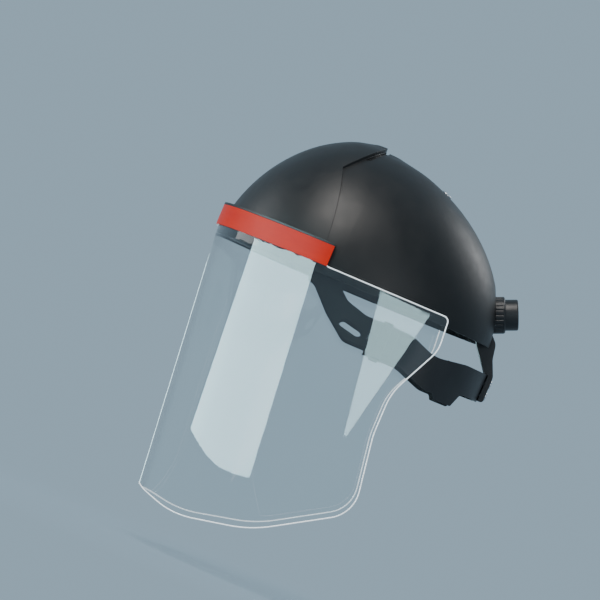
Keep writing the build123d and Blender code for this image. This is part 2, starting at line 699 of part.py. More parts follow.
def rack_teeth():
    """The teeth of the upper rack, pointing down at the pinion, with a gap at the middle."""
    slope = tan(radians(PRESSURE_ANGLE))
    half_tooth = TOOTH_PITCH / 4 - BACKLASH / 4
    tip = PINION_PITCH_RADIUS - RACK_ADDENDUM
    half_tip = half_tooth - RACK_ADDENDUM * slope
    half_root = half_tooth + DEDENDUM * slope
    teeth = []
    first = -int((RACK_TIP - half_root) / TOOTH_PITCH + 0.5)
    last = int((RACK_TEETH_END - half_root) / TOOTH_PITCH - 0.5)
    for i in range(first, last + 1):
        x = (i + 0.5) * TOOTH_PITCH
        foot = [(x + half_root, RACK_ROOT), (x - half_root, RACK_ROOT)]
        teeth.append(make_face(Polyline(*foot, (x - half_tip, tip), (x + half_tip, tip), close=True)))
    return teeth


def side_strap_sizes(inset):
    half_width = BAND_HALF_WIDTH - BAND_WALL - SIDE_STRAP_GAP - inset
    return (half_width, SIDE_STRAP_RISE - inset, SIDE_STRAP_CENTRE_Y, SIDE_STRAP_FRONT_Y)


def side_strap():
    """The left flexible strap, from inside the band to the rack's end block."""
    strap = u_wall(side_strap_sizes(0), SIDE_STRAP_WALL, SIDE_STRAP_LOW_Z, SIDE_STRAP_HEIGHT)
    return strap & box_between((BLOCK_X, -200, -50), (200, 200, 50))


def block_face(upper):
    """Side view of a rack's end block as (Y, Z): up or down from its lane to the strap's edges."""
    low = SIDE_STRAP_LOW_Z
    high = SIDE_STRAP_LOW_Z + SIDE_STRAP_HEIGHT
    side = 1 if upper else -1
    outer_near = ratchet_yz(side * RACK_ROOT, GEAR_LOW)
    outer_far = ratchet_yz(side * RACK_TOP, GEAR_LOW)
    inner_far = ratchet_yz(side * RACK_TOP, GEAR_HIGH)
    lane = [outer_near, outer_far, inner_far]
    if upper:
        points = [(BLOCK_INNER_Y, low), (outer_near[0] + 1, low), *lane, (BLOCK_INNER_Y, high)]
    else:
        points = [(BLOCK_INNER_Y, high), (outer_near[0] - 5, high), *lane, (BLOCK_INNER_Y, low)]
    return make_face(Polyline(*points, close=True))


def rack(upper):
    """The left rack in the upper lane, or the right one in the lower lane, with its end block."""
    end_x = BLOCK_X + BLOCK_LENGTH
    middle = Pos((end_x - RACK_TIP) / 2, RACK_ROOT + RACK_BACK / 2)
    face = middle * Rectangle(end_x + RACK_TIP, RACK_BACK)
    for tooth in rack_teeth():
        face = face + tooth
    bar = Pos(0, 0, GEAR_LOW) * extrude(face, RACK_WALL)
    block = side_plate(block_face(upper), BLOCK_X, end_x)
    if not upper:
        bar = Rot(0, 0, 180) * bar
        block = other_side(block)
    strap_room = Pos(0, 0, -50) * extrude(u_plan(*side_strap_sizes(0)), 100)
    return ratchet(bar) + (block - strap_room)


def strap_rivet():
    """Through the left strap into the block, with its head inside."""
    half_width, length, centre, _ = side_strap_sizes(SIDE_STRAP_WALL)
    x = BLOCK_X + BLOCK_LENGTH / 2
    y = centre + length * sqrt(1 - (x / half_width) ** 2)
    place = Pos(x, y, SIDE_STRAP_LOW_Z + SIDE_STRAP_HEIGHT / 2) * Rot(-90, 0, 0)
    return place * (drum(1.2, 0, 3.5) + drum(2.2, -RIVET_HEAD_HEIGHT, 0.4))


def pinion():
    gear = Pos(0, 0, GEAR_LOW) * extrude(pinion_face(), GEAR_HIGH - GEAR_LOW)
    shaft = drum(SHAFT_RADIUS, 0, GEAR_LOW) + drum(STUB_RADIUS, GEAR_HIGH, HOUSING_IN - 0.7)
    return ratchet(gear + shaft - drum(SCREW_RADIUS, -1, HOUSING_OUT))


def ratchet_knob():
    """A ribbed barrel with a smaller ring on its end, hollowed for the cap disc and the screw's head."""
    barrel = drum(KNOB_RADIUS, -KNOB_LENGTH, 0)
    barrel = chamfer(barrel.faces().sort_by(Axis.Z)[0].edges(), 0.8)
    ring = drum(RING_RADIUS, KNOB_FACE, -KNOB_LENGTH)
    ring = fillet(ring.faces().sort_by(Axis.Z)[0].edges(), 1.2)
    for i in range(KNOB_RIBS):
        groove = Pos(KNOB_RADIUS + 0.4, 0, 0) * drum(0.9, -KNOB_LENGTH + 1.4, -1.4)
        barrel = barrel - Rot(0, 0, i * 360 / KNOB_RIBS) * groove
    seat = SCREW_SEAT - SCREW_SEAT_GAP
    knob = barrel + ring - drum(CAP_DISC_RADIUS, KNOB_FACE - 1, seat)
    knob = knob - drum(SCREW_HEAD + 0.3, seat - 1, SCREW_SEAT + SCREW_HEAD_HEIGHT)
    return ratchet(knob - drum(SCREW_RADIUS, -60, 1))


def knob_cap():
    low = KNOB_FACE + CAP_DISC_SINK
    disc = drum(CAP_DISC_RADIUS - 0.02, low, low + CAP_DISC_WALL)
    rim = disc.faces().sort_by(Axis.Z)[0].edges()
    return ratchet(fillet(rim, 0.5))


def knob_screw():
    head = drum(SCREW_HEAD, SCREW_SEAT, SCREW_SEAT + SCREW_HEAD_HEIGHT)
    socket = Pos(0, 0, SCREW_SEAT) * extrude(RegularPolygon(1.2, 6), 0.8)
    return ratchet(head - socket + drum(SCREW_RADIUS, SCREW_SEAT + SCREW_HEAD_HEIGHT, HOUSING_OUT))


def housing_pad():
    pad = ratchet_slab(HOUSING_IN + PAD_GAP, HOUSING_IN + PAD_GAP + HOUSING_PAD_WALL)
    return ratchet(scale(pad, by=(0.9, 0.86, 1)))


os.makedirs("parts", exist_ok=True)
keep("crown_shell", crown_shell())
keep("visor", visor())
keep("clamp_strip", clamp_strip())
keep("visor_pegs", visor_pegs())
keep("forehead_band", forehead_band())
keep("sweatband_pad", sweatband_pad())
keep("crown_strap_left", crown_strap(0, STRAP_OVERLAP))
keep("crown_strap_right", other_side(crown_strap(STRAP_WALL + SEAT, STRAP_OVERLAP)))
keep("ridge_strap", ridge_strap())
keep("crown_peg", crown_peg())
keep("crown_rivet", crown_rivet())
keep("crown_pad", crown_pad())
keep("band_rivets", band_rivets())
keep("shell_posts", shell_posts())
keep("post_pins", post_pins())
keep("drop_arm_left", drop_arm())
keep("drop_arm_right", other_side(drop_arm()))
keep("keeper_left", keeper())
keep("keeper_right", other_side(keeper()))
keep("nape_band", nape_band())
keep("nape_pad", nape_pad())
keep("yoke_strap", yoke_strap())
keep("yoke_rivets", yoke_rivets())
keep("ratchet_housing", ratchet_housing())
keep("ratchet_cover", ratchet_cover())
keep("housing_screws", housing_screws())
keep("housing_pad", housing_pad())
keep("detent_springs", detent_springs())
keep("pinion", pinion())
keep("ratchet_knob", ratchet_knob())
keep("knob_cap", knob_cap())
keep("knob_screw", knob_screw())
keep("rack_left", rack(True))
keep("rack_right", rack(False))
keep("side_strap_left", side_strap())
keep("side_strap_right", other_side(side_strap()))
keep("strap_rivet_left", strap_rivet())
keep("strap_rivet_right", other_side(strap_rivet()))
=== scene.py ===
"""The face shield's looks, in metres: finishes, pads, straps, clear sheet, lights and camera."""
import json
from math import acos, cos, pi, radians, sin, sqrt

import bmesh
import bpy
from mathutils import Matrix, Vector


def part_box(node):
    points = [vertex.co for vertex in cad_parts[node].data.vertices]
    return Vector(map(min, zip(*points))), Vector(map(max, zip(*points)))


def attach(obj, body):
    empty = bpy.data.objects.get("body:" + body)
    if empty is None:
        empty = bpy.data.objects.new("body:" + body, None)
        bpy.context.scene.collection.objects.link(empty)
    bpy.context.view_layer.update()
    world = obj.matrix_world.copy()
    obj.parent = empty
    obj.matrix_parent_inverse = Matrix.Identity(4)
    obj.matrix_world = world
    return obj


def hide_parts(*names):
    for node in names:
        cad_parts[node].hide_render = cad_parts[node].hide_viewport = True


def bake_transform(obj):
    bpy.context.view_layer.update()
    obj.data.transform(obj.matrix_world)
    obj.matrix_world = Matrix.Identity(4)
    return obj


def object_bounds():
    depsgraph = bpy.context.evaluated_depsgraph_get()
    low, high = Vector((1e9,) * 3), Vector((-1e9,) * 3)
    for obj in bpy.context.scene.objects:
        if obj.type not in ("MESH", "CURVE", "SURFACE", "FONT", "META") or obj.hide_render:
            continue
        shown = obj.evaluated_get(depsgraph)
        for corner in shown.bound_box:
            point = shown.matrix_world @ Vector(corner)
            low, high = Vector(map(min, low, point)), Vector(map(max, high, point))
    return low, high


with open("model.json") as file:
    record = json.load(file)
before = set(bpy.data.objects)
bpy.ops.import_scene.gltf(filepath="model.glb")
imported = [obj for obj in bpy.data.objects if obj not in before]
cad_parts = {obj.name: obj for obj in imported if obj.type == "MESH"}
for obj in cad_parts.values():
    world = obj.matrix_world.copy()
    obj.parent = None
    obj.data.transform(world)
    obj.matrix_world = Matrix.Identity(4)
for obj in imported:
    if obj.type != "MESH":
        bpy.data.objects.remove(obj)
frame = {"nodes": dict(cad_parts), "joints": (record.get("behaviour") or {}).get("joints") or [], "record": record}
NODES = frame["nodes"]
CAD_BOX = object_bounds()
MM = 0.001
SHRINK = 0.5 * MM  # a pad's start inside its CAD solid, before it swells
SIM_FRAMES = 20
COVER_STIFFNESS = {"tension": 25, "compression": 25, "shear": 12, "bending": 2}
BAND_CENTRE_Y = -0.034  # where the headband's front curve begins
NAPE_CENTRE_Y = 0.045
STRAP_CENTRE_Y = 0.020
STRAP_THICK = 1.4 * MM
PAD_DEPTH = 5.5 * MM
HEAD_RADIUS = 0.085
STITCH_INSET = 3 * MM  # from the sweatband's edges
STITCH_SINK = 0.25 * MM  # into the pad's inner face
UP = Vector((0, 0, 1))
KNOB_AXIS = next(joint for joint in frame["joints"] if joint["name"] == "knob_turn")["axis"]
BACKDROP = (0.30, 0.42, 0.52)
BEVEL_SAMPLES = 6


# ---------------------------------------------------------------- materials
class Finish:
    """A node material with a Principled shader and short helpers for its textures."""

    def __init__(self, name):
        self.mat = bpy.data.materials.new(name)
        self.mat.use_nodes = True
        self.tree = self.mat.node_tree
        self.shader = self.tree.nodes["Principled BSDF"]
        self.place = self.node("ShaderNodeTexCoord").outputs["Object"]

    def node(self, kind, inputs=None, **settings):
        made = self.tree.nodes.new(kind)
        for key, value in settings.items():
            setattr(made, key, value)
        for key, value in (inputs or {}).items():
            if isinstance(value, bpy.types.NodeSocket):
                self.tree.links.new(value, made.inputs[key])
            else:
                made.inputs[key].default_value = value
        return made

    def noise(self, scale, detail=3.0, rough=0.55, place=None):
        inputs = {"Vector": place or self.place, "Scale": scale, "Detail": detail}
        return self.node("ShaderNodeTexNoise", {**inputs, "Roughness": rough}).outputs["Fac"]

    def ramp(self, fac, stops):
        made = self.node("ShaderNodeValToRGB", {"Fac": fac})
        elements = made.color_ramp.elements
        while len(elements) < len(stops):
            elements.new(0.5)
        for element, (at, colour) in zip(elements, stops):
            element.position = at
            element.color = (*(colour if isinstance(colour, tuple) else (colour,) * 3), 1.0)
        return made.outputs["Color"]

    def maths(self, how, a, b=0.0, clamp=False):
        return self.node("ShaderNodeMath", {0: a, 1: b}, operation=how, use_clamp=clamp).outputs[0]

    def mix(self, fac, a, b):
        made = self.node("ShaderNodeMix", data_type="RGBA")
        for key, value in ((0, fac), (6, a), (7, b)):
            if isinstance(value, bpy.types.NodeSocket):
                self.tree.links.new(value, made.inputs[key])
            else:
                made.inputs[key].default_value = value if key == 0 else (*value, 1.0)
        return made.outputs[2]

    def edges(self, radius):
        """0 on flat stretches and up to 1 along edges sharper than radius."""
        soft = self.node("ShaderNodeBevel", {"Radius": radius}, samples=BEVEL_SAMPLES).outputs[0]
        flat = self.node("ShaderNodeNewGeometry").outputs["Normal"]
        dot = self.node("ShaderNodeVectorMath", {0: soft, 1: flat}, operation="DOT_PRODUCT")
        bend = self.maths("SUBTRACT", 1.0, dot.outputs["Value"])
        return self.maths("MULTIPLY", bend, 4.0, clamp=True)

    def bump(self, height, depth, strength=1.0, bevel=0.0):
        inputs = {"Height": height, "Distance": depth, "Strength": strength}
        if bevel:
            rounded = self.node("ShaderNodeBevel", {"Radius": bevel}, samples=BEVEL_SAMPLES)
            inputs["Normal"] = rounded.outputs[0]
        self.put("Normal", self.node("ShaderNodeBump", inputs).outputs["Normal"])

    def put(self, socket, value):
        if isinstance(value, bpy.types.NodeSocket):
            self.tree.links.new(value, self.shader.inputs[socket])
        elif isinstance(value, tuple) and self.shader.inputs[socket].type == "RGBA":
            self.shader.inputs[socket].default_value = (*value, 1.0)
        else:
            self.shader.inputs[socket].default_value = value


def moulded(name, colour, rough, grain_depth, grain_scale=2600.0, worn=2.2, bevel=0.35 * MM):
    """Moulded plastic: fine grain, slow changes of gloss and slightly polished edges."""
    look = Finish(name)
    slow = look.noise(38.0, 4.0)
    grain = look.noise(grain_scale, 2.0)
    dark = tuple(c * 0.82 for c in colour)
    light = tuple(c * 1.22 for c in colour)
    body = look.ramp(slow, [(0.3, dark), (0.7, light)])
    edge = look.edges(0.7 * MM)
    patchy = look.ramp(look.noise(210.0, 5.0), [(0.42, 0.0), (0.68, 1.0)])
    rubbed = look.maths("MULTIPLY", edge, patchy)
    look.put("Base Color", look.mix(rubbed, body, tuple(min(1.0, c * worn + 0.01) for c in colour)))
    gloss = look.ramp(look.noise(75.0, 5.0), [(0.25, rough - 0.05), (0.75, rough + 0.07)])
    look.put("Roughness", look.mix(rubbed, gloss, (rough - 0.1,) * 3))
    look.put("Specular IOR Level", 0.36)
    look.bump(grain, grain_depth, 0.6, bevel)
    return look


def steel(name):
    """Nickel-plated steel, turned: faint patches of tone and fine scratches."""
    look = Finish(name)
    scratches = look.noise(900.0, 6.0, 0.7)
    look.put("Metallic", 1.0)
    tones = [(0.3, (0.50, 0.50, 0.52)), (0.7, (0.68, 0.68, 0.69))]
    look.put("Base Color", look.ramp(look.noise(120.0), tones))
    look.put("Roughness", look.ramp(scratches, [(0.3, 0.16), (0.7, 0.34)]))
    look.bump(scratches, 0.02 * MM, 0.4, 0.25 * MM)
    return look


def clear_sheet(name):
    """Clear polycarbonate: polished, with hardly any haze."""
    look = Finish(name)
    tones = [(0.3, (0.955, 0.98, 0.985)), (0.7, (0.975, 0.99, 0.99))]
    look.put("Base Color", look.ramp(look.noise(14.0), tones))
    look.put("Roughness", look.ramp(look.noise(160.0, 6.0), [(0.45, 0.0), (0.8, 0.03)]))
    look.put("Transmission Weight", 1.0)
    look.put("IOR", 1.52)
    look.mat.use_raytrace_refraction = True
    return look


def painted_glow_edge(name):
    """The sheet's cut edge with a painted glow: its emission stands in for the light that the edge gathers from
    the whole sheet.
    """
    look = Finish(name)
    # painted light: this colour is also the edge's emission, so the edge glows though it is no lamp
    edge_glow_colour = look.ramp(look.noise(160.0), [(0.3, (0.84, 0.92, 0.94)), (0.7, (0.96, 0.99, 1.0))])
    look.put("Base Color", edge_glow_colour)
    look.put("Emission Color", edge_glow_colour)
    look.put("Emission Strength", 0.7)
    look.put("Roughness", look.ramp(look.noise(700.0), [(0.3, 0.18), (0.7, 0.35)]))
    return look


def red_plastic(name):
    """Satin red-orange plastic with a faint flow pattern."""
    look = Finish(name)
    stretched = look.node("ShaderNodeMapping", {"Vector": look.place, "Scale": (1.0, 1.0, 5.0)})
    flow = look.noise(26.0, 4.0, 0.6, stretched.outputs[0])
    tones = [(0.3, (0.66, 0.014, 0.0)), (0.7, (0.74, 0.022, 0.0))]
    look.put("Base Color", look.ramp(flow, tones))
    look.put("Roughness", look.ramp(look.noise(320.0, 5.0), [(0.3, 0.34), (0.75, 0.46)]))
    look.put("Specular IOR Level", 0.12)
    look.put("Subsurface Weight", 0.06)
    look.put("Subsurface Radius", (0.004, 0.001, 0.0006))
    look.bump(look.noise(1500.0, 2.0), 0.02 * MM, 0.5, 0.4 * MM)
    return look


def knit(name, colour, pitch=1.1 * MM):
    """Knitted cloth over foam: a fine grid of loops with fuzz, and painted shade in the hollows between the loops.
    """
    look = Finish(name)
    across = look.node("ShaderNodeSeparateXYZ", {"Vector": look.place})
    loops = []
    for axis, phase in ((0, 0.0), (1, 0.7), (2, 1.4)):
        turns = look.maths("MULTIPLY_ADD", across.outputs[axis], 2 * pi / pitch)
        turns.node.inputs[2].default_value = phase
        loops.append(look.maths("SINE", turns))
    weave = look.maths("MULTIPLY", look.maths("ADD", loops[0], loops[1]), loops[2])
    height = look.maths("MULTIPLY_ADD", weave, 0.25)
    height.node.inputs[2].default_value = 0.5
    fuzz = look.noise(1800.0, 6.0, 0.7)
    mixed = look.maths("ADD", height, look.maths("MULTIPLY", fuzz, 0.5))
    dark = tuple(c * 0.5 for c in colour)
    light = tuple(c * 1.5 for c in colour)
    # The colour follows the loops' height: the hollows between loops are darker, which is painted shade; the fuzz
    # adds random tone.
    look.put("Base Color", look.ramp(mixed, [(0.35, dark), (1.0, light)]))
    look.put("Roughness", look.ramp(fuzz, [(0.3, 0.82), (0.7, 0.95)]))
    look.put("Sheen Weight", 0.35)
    look.put("Sheen Roughness", 0.5)
    look.bump(mixed, 0.25 * MM, 0.8)
    return look


def leatherette(name, colour):
    """Perforated soft leatherette: pebbled, with painted shade in its creases, and rows of small holes drawn as
    shallow dimples whose dark colour is painted shade.

    The rows lie on the angle round the head, times its mean radius, and the height.
    """
    look = Finish(name)
    pebbles = look.node("ShaderNodeTexVoronoi", {"Vector": look.place, "Scale": 900.0})
    pebbles = pebbles.outputs["Distance"]
    parts = look.node("ShaderNodeSeparateXYZ", {"Vector": look.place}).outputs
    around = look.maths("MULTIPLY", look.maths("ARCTAN2", parts[0], parts[1]), HEAD_RADIUS)
    flat = look.node("ShaderNodeCombineXYZ", {0: around, 1: parts[2]}).outputs[0]
    grid = {"Vector": flat, "Scale": 330.0, "Randomness": 0.0}
    rows = look.node("ShaderNodeTexVoronoi", grid, voronoi_dimensions="2D")
    solid = look.ramp(rows.outputs["Distance"], [(0.14, 0.0), (0.2, 1.0)])
    creases = look.noise(60.0, 6.0, 0.65)
    dark = tuple(c * 0.7 for c in colour)
    light = tuple(c * 1.3 for c in colour)
    # The colour follows the crease pattern that also drives the bump: the creases are darker, which is painted
    # shade.
    body = look.ramp(creases, [(0.3, dark), (0.7, light)])
    # painted shade: the holes are drawn near black over the shallow dimple that the bump gives
    look.put("Base Color", look.mix(solid, tuple(c * 0.12 for c in colour), body))
    look.put("Roughness", look.ramp(pebbles, [(0.1, 0.62), (0.6, 0.46)]))
    creased = look.maths("MULTIPLY", creases, solid)
    both = look.maths("ADD", look.maths("MULTIPLY", pebbles, 0.5), creased)
    look.bump(both, 0.18 * MM, 0.7)
    look.put("Sheen Weight", 0.1)
    return look


FINISHES = {
    "shell_plastic": moulded("shell_plastic", (0.0062, 0.0060, 0.0060), 0.42, 0.05 * MM),
    "visor_clear": clear_sheet("visor_clear"),
    "strip_red": red_plastic("strip_red"),
    "band_plastic": moulded("band_plastic", (0.019, 0.019, 0.021), 0.46, 0.06 * MM),
    "strap_plastic": moulded("strap_plastic", (0.016, 0.016, 0.0175), 0.42, 0.05 * MM),
    "arm_plastic": moulded("arm_plastic", (0.014, 0.0145, 0.016), 0.40, 0.05 * MM),
    "sweatband": leatherette("sweatband", (0.032, 0.031, 0.03)),
    "foam_cloth": knit("foam_cloth", (0.03, 0.03, 0.033)),
    "rivet_metal": steel("rivet_metal"),
    "spring_steel": steel("spring_steel"),
    "gear_nylon": moulded("gear_nylon", (0.07, 0.07, 0.073), 0.5, 0.03 * MM),
    "knob_plastic": moulded("knob_plastic", (0.013, 0.0135, 0.015), 0.36, 0.05 * MM),
    "cap_plastic": moulded("cap_plastic", (0.055, 0.06, 0.066), 0.34, 0.02 * MM),
}
# painted light: the glowing finish of the sheet's cut edge
PAINTED_GLOW_EDGE = painted_glow_edge("painted_glow_edge")


def link(thing):
    """Puts an object in the scene."""
    bpy.context.scene.collection.objects.link(thing)
    return thing


def dress(piece, slot):
    """Gives a piece the finish of a record slot."""
    piece.data.materials.clear()
    piece.data.materials.append(FINISHES[slot].mat)


def add_piece(name, data, body, slot, replaces=()):
    piece = link(bpy.data.objects.new(name, data))
    dress(piece, slot)
    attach(piece, body)
    if replaces:
        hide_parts(*replaces)
    return piece


def dress_cad():
    slots = {part["node"]: part["material_slot"] for part in frame["record"]["subparts"]}
    for name, piece in NODES.items():
        look = FINISHES[slots[name]].mat
        if piece.material_slots:
            for holder in piece.material_slots:
                holder.link = "OBJECT"
                holder.material = look
        else:
            piece.data.materials.append(look)


def holder_of(data):
    """A working object for a mesh or a curve."""
    return link(bpy.data.objects.new("work", data))


def settled(holder):
    """The holder's mesh with its modifiers applied; the holder is then removed."""
    graph = bpy.context.evaluated_depsgraph_get()
    mesh = bpy.data.meshes.new_from_object(holder.evaluated_get(graph))
    bpy.data.objects.remove(holder)
    return mesh


def smoothed(mesh):
    for face in mesh.polygons:
        face.use_smooth = True
    return mesh


# ---------------------------------------------------------------- the clear sheet's edges
def sharp_paths(mesh, angle, keep):
    """Chains of the mesh's sharp edges whose middles pass keep(point)."""
    work = bmesh.new()
    work.from_mesh(mesh)
    bmesh.ops.remove_doubles(work, verts=work.verts, dist=1e-6)
    links = {}
    for edge in work.edges:
        if len(edge.link_faces) == 2 and edge.calc_face_angle(0.0) > angle:
            a, b = edge.verts
            if keep((a.co + b.co) / 2):
                links.setdefault(a.index, []).append(b.index)
                links.setdefault(b.index, []).append(a.index)
    work.verts.ensure_lookup_table()
    places = {i: work.verts[i].co.copy() for i in links}
    work.free()
    paths = []
    unused = {frozenset((a, b)) for a, ends in links.items() for b in ends}
    starts = sorted(links, key=lambda i: (len(links[i]) != 1, i))
    for start in starts:
        while True:
            path = [start]
            while True:
                here = path[-1]
                step = next((b for b in links[here] if frozenset((here, b)) in unused), None)
                if step is None:
                    break
                unused.discard(frozenset((here, step)))
                path.append(step)
            if len(path) < 2:
                break
            paths.append([places[i] for i in path])
    return paths


def thread(name, paths, radius, body, slot, smooth=2):
    """A bead of that radius along each path."""
    curve = bpy.data.curves.new(name, "CURVE")
    curve.dimensions = "3D"
    curve.bevel_depth = radius
    curve.bevel_resolution = smooth
    curve.use_fill_caps = True
    for path in paths:
        spline = curve.splines.new("POLY")
        spline.points.add(len(path) - 1)
        for point, place in zip(spline.points, path):
            point.co = (*place, 1.0)
    return add_piece(name, smoothed(settled(holder_of(curve))), body, slot)


# ---------------------------------------------------------------- soft pads
def foam_pad(name, node, body, slot, voxel, pressure, cap, back):
    """A pad grown from a CAD solid: remeshed, swollen by cloth simulation and held to its flat back.

    back(point) is the way out of the pad towards what it rests on, where it may not grow.
    """
    holder = holder_of(NODES[node].data.copy())
    remesh = holder.modifiers.new("remesh", "REMESH")
    remesh.mode = "VOXEL"
    remesh.voxel_size = voxel
    mesh = settled(holder)
    start = [(v.co.copy(), v.normal.copy()) for v in mesh.vertices]
    for vertex, (place, normal) in zip(mesh.vertices, start):
        vertex.co = place - normal * SHRINK
    holder = holder_of(mesh)
    cloth = holder.modifiers.new("cloth", "CLOTH")
    cloth.settings.use_pressure = True
    cloth.settings.uniform_pressure_force = pressure
    cloth.settings.effector_weights.gravity = 0
    for setting, stiffness in COVER_STIFFNESS.items():
        setattr(cloth.settings, f"{setting}_stiffness", stiffness)
    cloth.point_cache.frame_end = SIM_FRAMES
    for step in range(1, SIM_FRAMES + 1):
        bpy.context.scene.frame_set(step)
    mesh = settled(holder)
    bpy.context.scene.frame_set(1)
    for vertex, (place, normal) in zip(mesh.vertices, start):
        move = vertex.co - place
        if move.length > cap:
            move *= cap / move.length
        outward = move.dot(back(place))
        if outward > 0:
            move -= back(place) * outward
        vertex.co = place + move
    holder = holder_of(mesh)
    smooth = holder.modifiers.new("smooth", "SMOOTH")
    smooth.iterations = 2
    smooth.factor = 0.4
    finer = holder.modifiers.new("finer", "SUBSURF")
    finer.levels = finer.render_levels = 1
    piece = add_piece(name, smoothed(settled(holder)), body, slot, (node,))


def from_ring(centre_y):
    """Straight out of a ring's front half, about an upright line at centre_y."""

    def back(place):
        return Vector((place.x, min(0.0, place.y - centre_y), 0.0)).normalized()

    return back


def from_rear_ring(centre_y):
    """The same for a ring's rear half."""

    def back(place):
        return Vector((place.x, max(0.0, place.y - centre_y), 0.0)).normalized()

    return back


def along(way):
    """The same way everywhere."""
    return lambda place: way


def half_ring(centre_y, half_width, length, z, spread, steps):
    """Points along a front half ellipse at height z."""
    points = []
    for i in range(steps + 1):
        angle = -spread + 2 * spread * i / steps
        points.append(Vector((half_width * sin(angle), centre_y - length * cos(angle), z)))
    return points


def stitches(name, path, length, gap, radius, body, slot):
    """Short thread stitches along a path."""
    pieces = []
    walked = 0.0
    next_at = 0.0
    for a, b in zip(path, path[1:]):
        span = (b - a).length
        while next_at + length < walked + span:
            near = a.lerp(b, (next_at - walked) / span) if next_at >= walked else a.copy()
            far = a.lerp(b, (next_at + length - walked) / span)
            pieces.append([near, far])
            next_at += length + gap
        walked += span
    return thread(name, pieces, radius, body, slot, 1)


def soft_parts():
    front, rear = from_ring(BAND_CENTRE_Y), from_rear_ring(NAPE_CENTRE_Y)
    inward = along(-Vector(KNOB_AXIS))
    pads = [  # name, node, body, slot, voxel, pressure, cap, back
        ("sweatband", "sweatband_pad", "root", "sweatband", 2.2, 3.0, 1.6, front),
        ("nape_cushion", "nape_pad", "rear_yoke", "foam_cloth", 2.0, 3.0, 1.4, rear),
        ("crown_cushion", "crown_pad", "root", "foam_cloth", 2.0, 4.0, 3.0, along(UP)),
        ("housing_cushion", "housing_pad", "rear_yoke", "foam_cloth", 1.6, 3.0, 1.2, inward),
    ]
    for name, node, body, slot, voxel, pressure, cap, back in pads:
        foam_pad(name, node, body, slot, voxel * MM, pressure, cap * MM, back)
    low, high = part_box("sweatband_pad")
    half_width = high[0] - PAD_DEPTH + STITCH_SINK
    length = BAND_CENTRE_Y - low[1] - PAD_DEPTH + STITCH_SINK
    for name, z in (("upper", high[2] - STITCH_INSET), ("lower", low[2] + STITCH_INSET)):
        path = half_ring(BAND_CENTRE_Y, half_width, length, z, radians(88), 160)
        sewn = f"sweatband_stitching_{name}"
        stitches(sewn, path, 2.4 * MM, 1.1 * MM, 0.28 * MM, "root", "strap_plastic")


# ---------------------------------------------------------------- the flexible side straps
LEG_STEPS = 10
ARC_STEPS = 70
STRAP_SECTION = [  # a flat strip with bevelled edges, as shares of its thickness and height
    (0.5, -0.42),
    (0.5, 0.42),
    (0.28, 0.5),
    (-0.28, 0.5),
    (-0.5, 0.42),
    (-0.5, -0.42),
    (-0.28, -0.5),
    (0.28, -0.5),
]


def side_strap(side):
    """A strap from inside the headband to its rack, built in one fixed bent shape that does not follow the rack.
    """
    name = "left" if side > 0 else "right"
    low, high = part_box(f"side_strap_{name}")
    half_width = high[0] if side > 0 else -low[0]
    inner_x = low[0] if side > 0 else -high[0]
    # the rear end lies where the ellipse reaches the rack block's x
    end_angle = acos(inner_x / half_width)
    full_rise = (high[1] - STRAP_CENTRE_Y) / sin(end_angle)
    thick = STRAP_THICK
    height = high[2] - low[2]
    mid = (high[2] + low[2]) / 2
    section = [(out * thick, up * height) for out, up in STRAP_SECTION]
    mesh = bpy.data.meshes.new(f"strap_{name}")
    work = bmesh.new()
    rings = []
    leg = STRAP_CENTRE_Y - low[1]
    stations = [(low[1] + leg * i / LEG_STEPS, None) for i in range(LEG_STEPS)]
    stations += [(None, end_angle * i / ARC_STEPS) for i in range(ARC_STEPS + 1)]
    for leg_y, angle in stations:
        if angle is None:
            centre, out = Vector((half_width - thick / 2, leg_y, mid)), Vector((1, 0, 0))
        else:
            a, b = half_width - thick / 2, full_rise - thick / 2
            centre = Vector((a * cos(angle), STRAP_CENTRE_Y + b * sin(angle), mid))
            out = Vector((b * cos(angle), a * sin(angle), 0)).normalized()
        ring = [work.verts.new(centre + out * o + Vector((0, 0, u))) for o, u in section]
        rings.append(ring)
    for first, second in zip(rings, rings[1:]):
        for i in range(len(section)):
            j = (i + 1) % len(section)
            work.faces.new((first[i], first[j], second[j], second[i]))
    work.faces.new(rings[0])
    work.faces.new(list(reversed(rings[-1])))
    if side < 0:
        for vertex in work.verts:
            vertex.co.x = -vertex.co.x
    bmesh.ops.recalc_face_normals(work, faces=work.faces)
    work.to_mesh(mesh)
    work.free()
    for face in mesh.polygons:
        face.use_smooth = len(face.vertices) == 4
    piece = link(bpy.data.objects.new(f"flex_strap_{name}", mesh))
    dress(piece, "strap_plastic")
    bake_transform(piece)
    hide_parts(f"side_strap_{name}")
    return piece


# ---------------------------------------------------------------- camera, lights and floor
BRIM_SLOPE = radians(23.0)  # the brim slopes down to the right in the view
CAMERA_AZIMUTH = radians(90.8)
CAMERA_RISE = radians(-1.2)
CAMERA_AWAY = 3.40
LENS = 283.4
LOOK_AT = Vector((0.0, -0.0313, -0.0269))
FLOOR_RADIUS = 3.0
FLOOR_FADE = 0.42
FLOOR_DROP = 0.03  # below the sheet's lowest point


def camera():
    """Far off to the left of the head, rolled so that the brim slopes down to the right."""
    across, ahead = sin(CAMERA_AZIMUTH) * cos(CAMERA_RISE), cos(CAMERA_AZIMUTH) * cos(CAMERA_RISE)
    out = Vector((across, -ahead, sin(CAMERA_RISE)))
    level = UP.cross(out).normalized()
    upright = out.cross(level)
    right = level * cos(BRIM_SLOPE) + upright * sin(BRIM_SLOPE)
    up = upright * cos(BRIM_SLOPE) - level * sin(BRIM_SLOPE)
    made = link(bpy.data.objects.new("camera", bpy.data.cameras.new("camera")))
    made.matrix_world = Matrix((right, up, out)).transposed().to_4x4()
    made.location = LOOK_AT + out * CAMERA_AWAY
    made.data.lens = LENS
    made.data.clip_start = 0.01
    bpy.context.scene.camera = made
    return made


